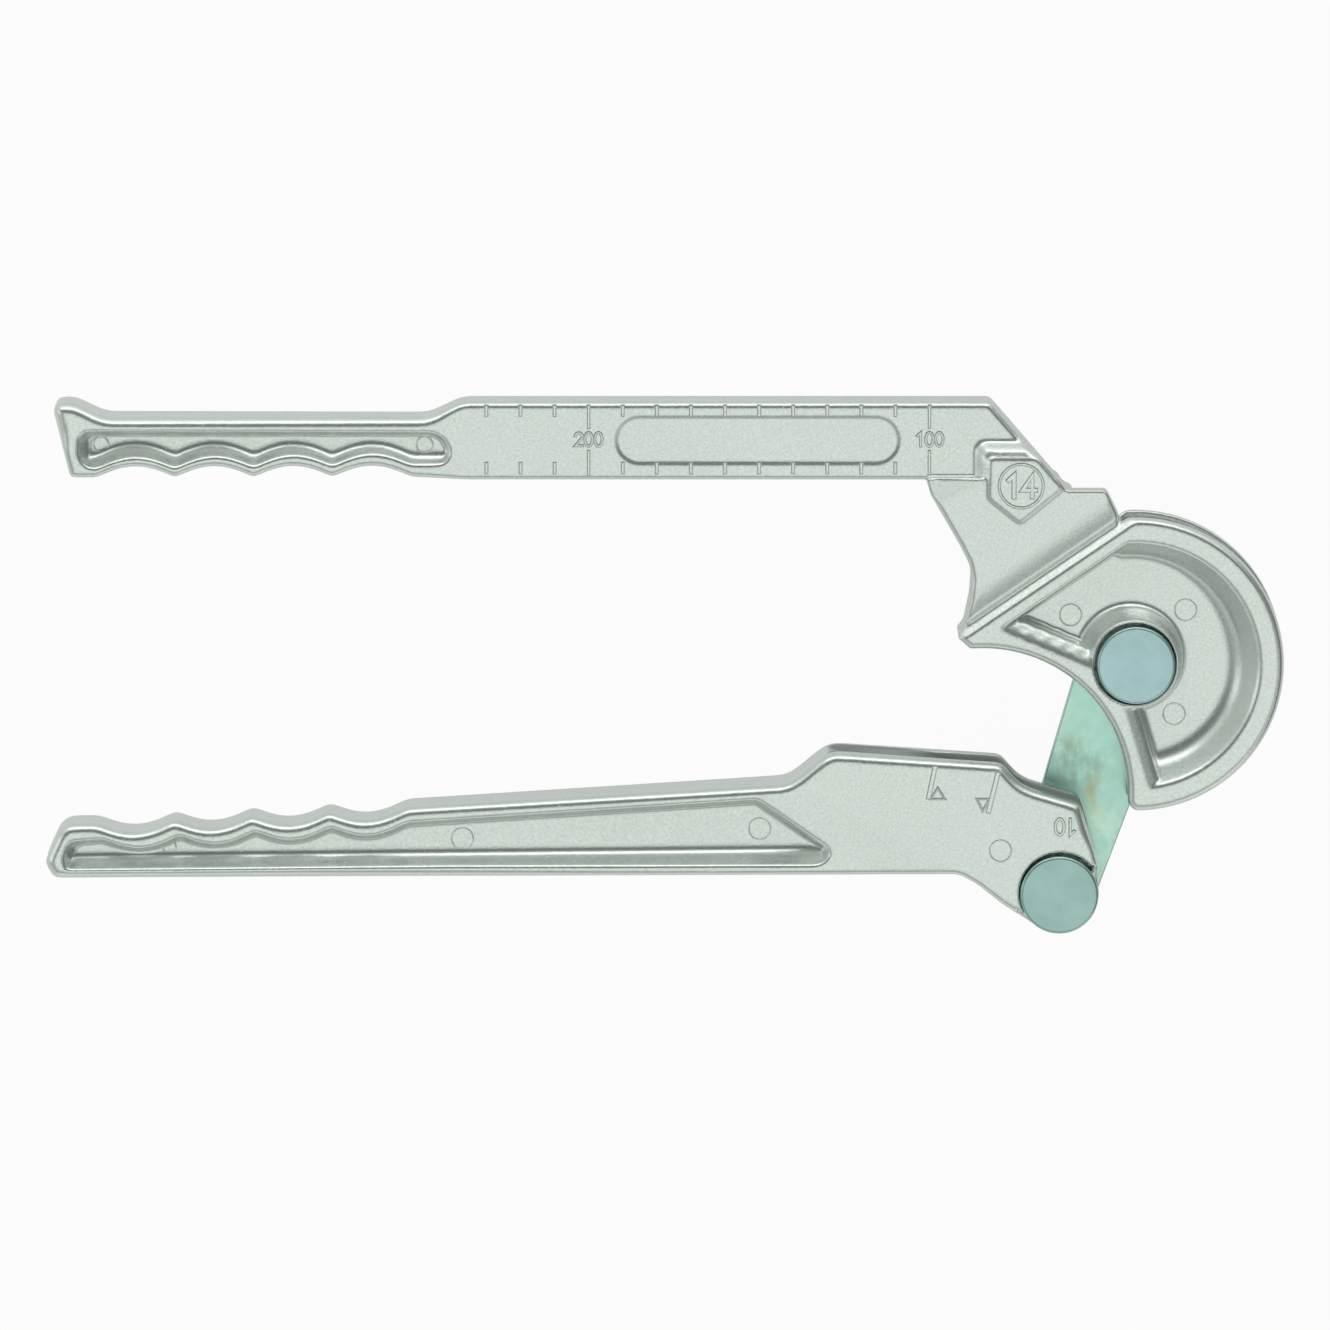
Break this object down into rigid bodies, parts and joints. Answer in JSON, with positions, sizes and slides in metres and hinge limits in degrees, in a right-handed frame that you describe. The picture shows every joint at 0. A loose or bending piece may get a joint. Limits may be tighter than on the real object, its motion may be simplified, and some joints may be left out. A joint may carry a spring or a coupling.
{
  "type": "tube bender",
  "caption": "Two-handled tube bender: a cast handle with a half-round grooved former, a pivoting lever with a tube groove, and a steel link that joins them at the back.",
  "frame": {"origin": "on the bend axis, in the middle plane of the tube groove", "axes": "+X along the handles towards the former, +Y from the bend axis to the handle beam, +Z out of the front faces"},
  "size_m": [0.3649, 0.158, 0.0355],
  "materials": {
    "casting": "bright die casting with soft edges",
    "link": "plated, green and yellow sheen",
    "pin": "bright zinc plating",
    "washer": "bright zinc plating",
    "ring": "dark spring steel"
  },
  "bodies": {
    "handle": {"former_handle": "casting"},
    "link": {"link_plate": "link", "former_pin": "pin", "lever_pin": "pin", "former_thrust_washer": "washer", "lever_thrust_washer": "washer", "former_back_washer": "washer", "lever_back_washer": "washer", "former_ring": "ring", "lever_ring": "ring"},
    "lever": {"slide_lever": "casting"}
  },
  "joints": [
    {"name": "link_swing", "type": "hinge", "parent": "handle", "child": "link", "pos_m": [0, 0, 0], "axis": [0, 0, 1], "range_deg": [-8, 196.6]},
    {"name": "lever_swing", "type": "hinge", "parent": "link", "child": "lever", "pos_m": [-0.02236, -0.06802, 0], "axis": [0, 0, 1], "range_deg": [-6, 110]}
  ]
}
